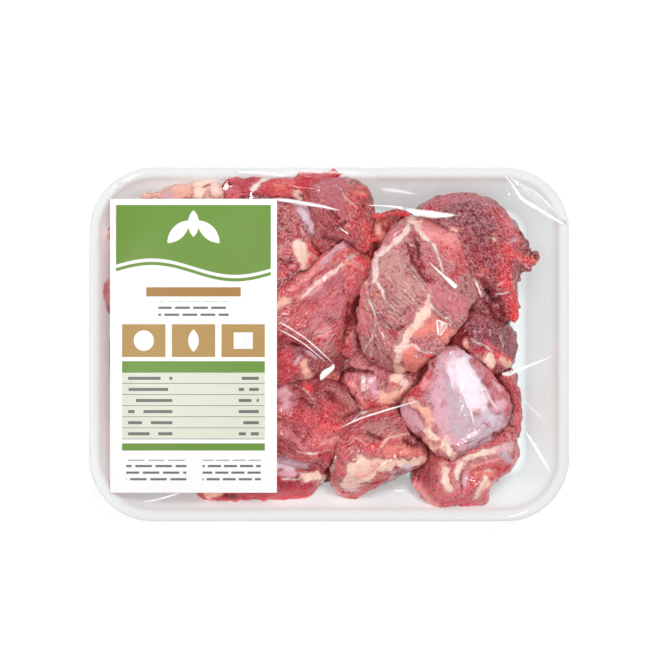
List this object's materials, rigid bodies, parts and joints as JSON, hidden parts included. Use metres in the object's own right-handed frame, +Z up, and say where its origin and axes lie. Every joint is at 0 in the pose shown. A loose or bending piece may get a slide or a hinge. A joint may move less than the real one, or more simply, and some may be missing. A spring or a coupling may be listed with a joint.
{
  "type": "pack of diced beef",
  "caption": "Shallow foam tray heaped with irregular hand-cut pieces of raw beef, overwrapped in clear film that carries one large paper label.",
  "frame": {"origin": "middle of the base, on the surface that the pack rests on", "axes": "+X along the tray's length, to the right as pictured; +Y across it, to the picture's top; +Z up"},
  "size_m": [0.2408, 0.1782, 0.0517],
  "materials": {
    "foam": "white expanded foam with a smooth skin",
    "clear_film": "clear stretch film, tight and glossy",
    "label_paper": "satin printed paper with plain fields of colour",
    "lean_beef": "moist raw lean beef",
    "pale_beef": "moist raw beef under silverskin and seams",
    "fatty_beef": "moist raw beef with cream fat"
  },
  "bodies": {
    "root": {"tray": "foam", "film": "clear_film", "label": "label_paper", "beef_seamed": "pale_beef", "beef_bar": "lean_beef", "beef_silverskin": "pale_beef", "beef_back_block": "lean_beef", "beef_dark_round": "lean_beef", "beef_fat_capped": "fatty_beef", "beef_swirled_fat": "fatty_beef", "beef_coarse_grain": "lean_beef", "beef_front_crimson": "lean_beef", "beef_right_dark": "lean_beef", "beef_middle_left": "lean_beef", "beef_back_strip": "fatty_beef", "beef_back_nub": "fatty_beef", "beef_label_middle": "lean_beef", "beef_label_back": "lean_beef", "beef_label_front": "lean_beef", "beef_front_strip": "lean_beef", "beef_fat_corner": "fatty_beef", "beef_right_edge": "fatty_beef", "beef_middle": "pale_beef"}
  },
  "joints": []
}
